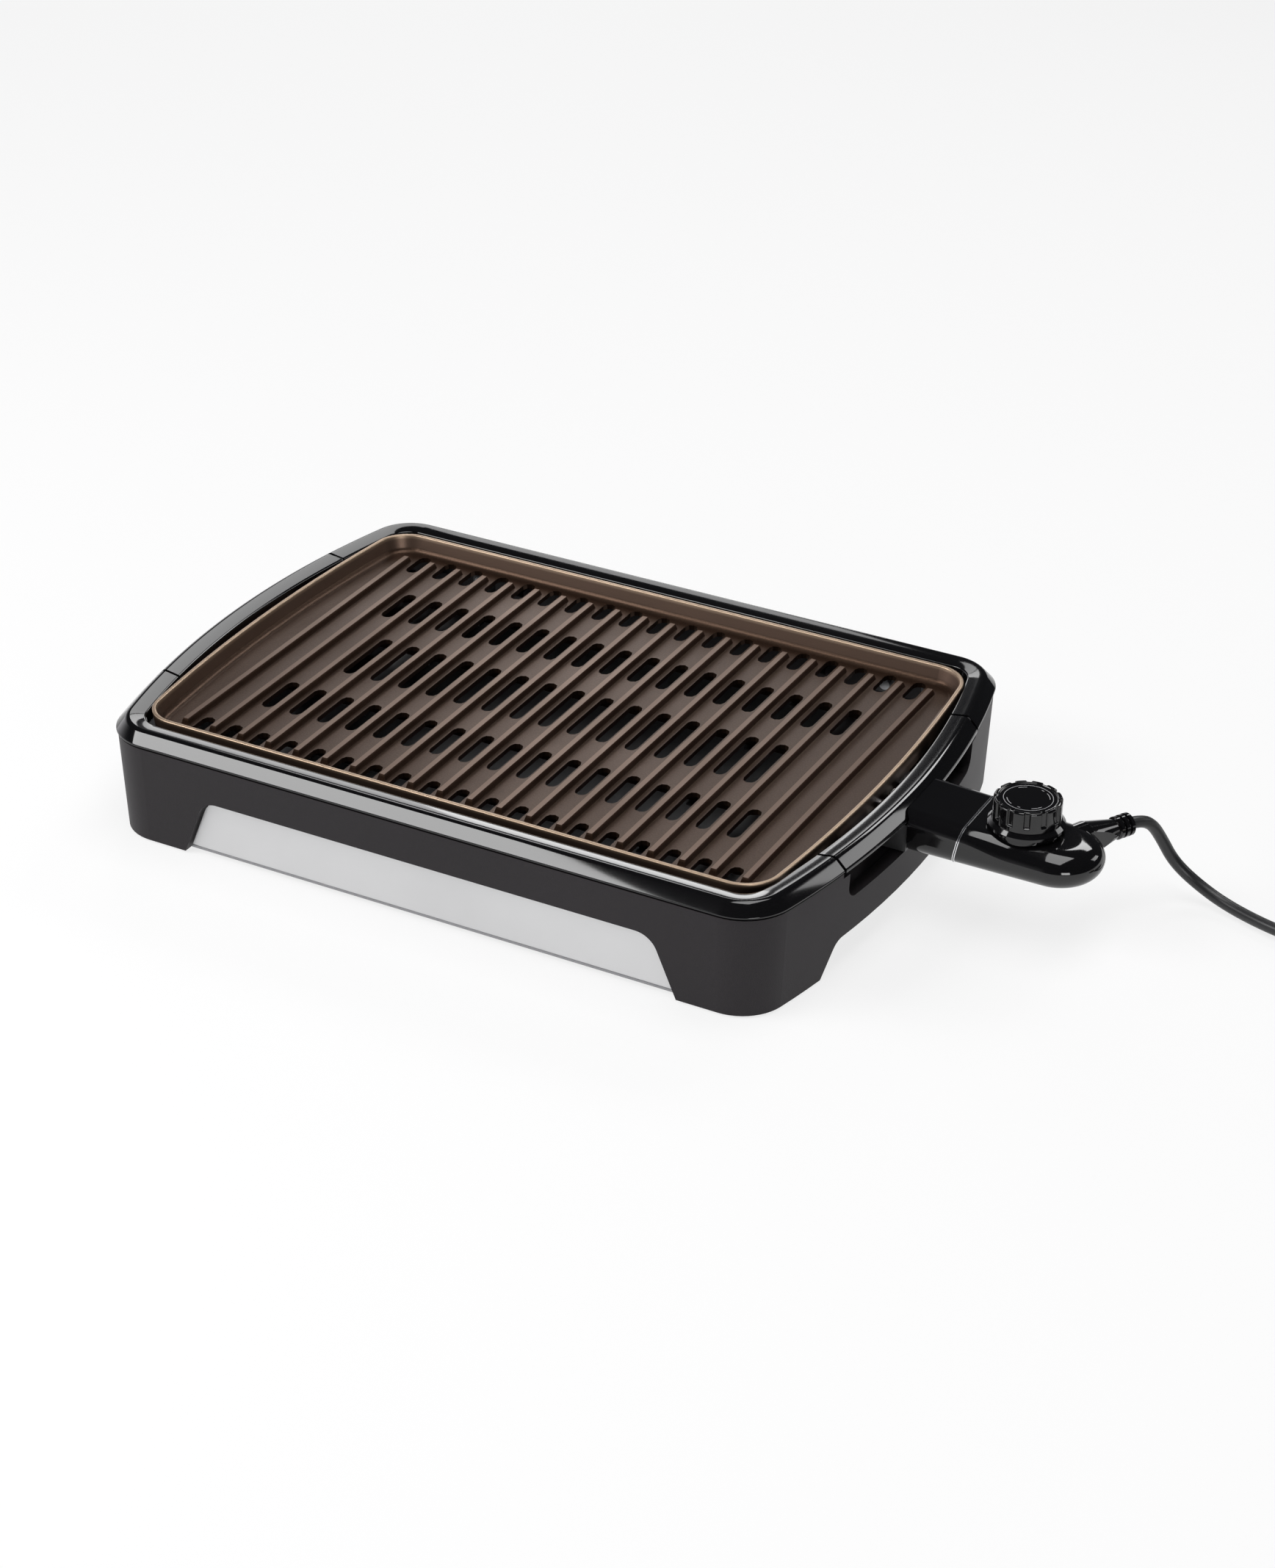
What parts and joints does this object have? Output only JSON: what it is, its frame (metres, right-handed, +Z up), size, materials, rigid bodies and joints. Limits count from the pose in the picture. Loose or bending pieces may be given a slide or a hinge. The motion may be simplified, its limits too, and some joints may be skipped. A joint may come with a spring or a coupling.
{
  "type": "smokeless electric grill",
  "caption": "Table-top electric grill with a ribbed, slotted lift-off plate, a silver drip tray drawer, cool-touch handles and a plug-in temperature control on a lead.",
  "frame": {"origin": "on the table under the middle of the length and depth of the grill with its control, lead left out", "axes": "+X along the long side towards the temperature control, +Y from the tray front to the back, +Z up"},
  "size_m": [0.777, 0.3234, 0.084],
  "materials": {
    "charcoal_base": "matte",
    "gloss_black": "gloss",
    "bronze_plate": "satin non-stick coat",
    "silver_tray": "satin",
    "plain_sheet": "satin",
    "plated_steel": "gloss",
    "bright_trim": "gloss",
    "element_sheath": "satin",
    "contact_brass": "satin",
    "rubber_pads": "matte",
    "ceramic": "matte",
    "lamp_lens": "gloss",
    "lead_rubber": "satin"
  },
  "bodies": {
    "base": {"base_housing": "charcoal_base", "rim_front": "gloss_black", "rim_rear": "gloss_black", "foot_pads": "rubber_pads", "plate_rest_pads": "rubber_pads", "tray_rail_left": "plain_sheet", "tray_rail_right": "plain_sheet", "drip_guide_left": "plain_sheet", "drip_guide_right": "plain_sheet", "shelf_screws": "plated_steel", "rim_screws": "plated_steel"},
    "tray": {"drip_tray_pan": "plain_sheet", "drip_tray_front": "silver_tray"},
    "hotplate": {"grill_plate": "bronze_plate", "heating_element": "element_sheath", "element_straps": "plain_sheet", "terminal_pins": "bright_trim", "pin_insulators": "ceramic", "inlet_guard": "plain_sheet", "guard_screws": "plated_steel", "handle_left": "gloss_black", "handle_right": "gloss_black", "handle_brackets_left": "plain_sheet", "handle_brackets_right": "plain_sheet", "bracket_screws": "plated_steel"},
    "control": {"control_nose": "gloss_black", "control_ring": "bright_trim", "control_base": "gloss_black", "control_cover": "gloss_black", "sensor_rod": "bright_trim", "contact_tubes": "contact_brass", "thermostat_block": "ceramic", "pointer_lens": "lamp_lens", "control_screws": "plated_steel", "cord_boot": "lead_rubber", "cord": "lead_rubber", "cord_coil": "lead_rubber", "cord_tie": "lead_rubber", "plug_body": "lead_rubber", "plug_pins": "contact_brass"},
    "knob": {"knob_cap": "gloss_black", "knob_skirt": "gloss_black", "knob_spindle": "plated_steel"}
  },
  "joints": [
    {"name": "tray_slide", "type": "slide", "parent": "base", "child": "tray", "axis": [0, -1, 0], "range_m": [0, 0.22]},
    {"name": "plate_lift", "type": "slide", "parent": "base", "child": "hotplate", "axis": [0, 0, 1], "range_m": [0, 0.12]},
    {"name": "control_unplug", "type": "slide", "parent": "hotplate", "child": "control", "axis": [1, 0, 0], "range_m": [0, 0.08]},
    {"name": "knob_turn", "type": "hinge", "parent": "control", "child": "knob", "pos_m": [0.23875, 0, 0.07], "axis": [0, 0, 1], "range_deg": [0, 270]}
  ]
}
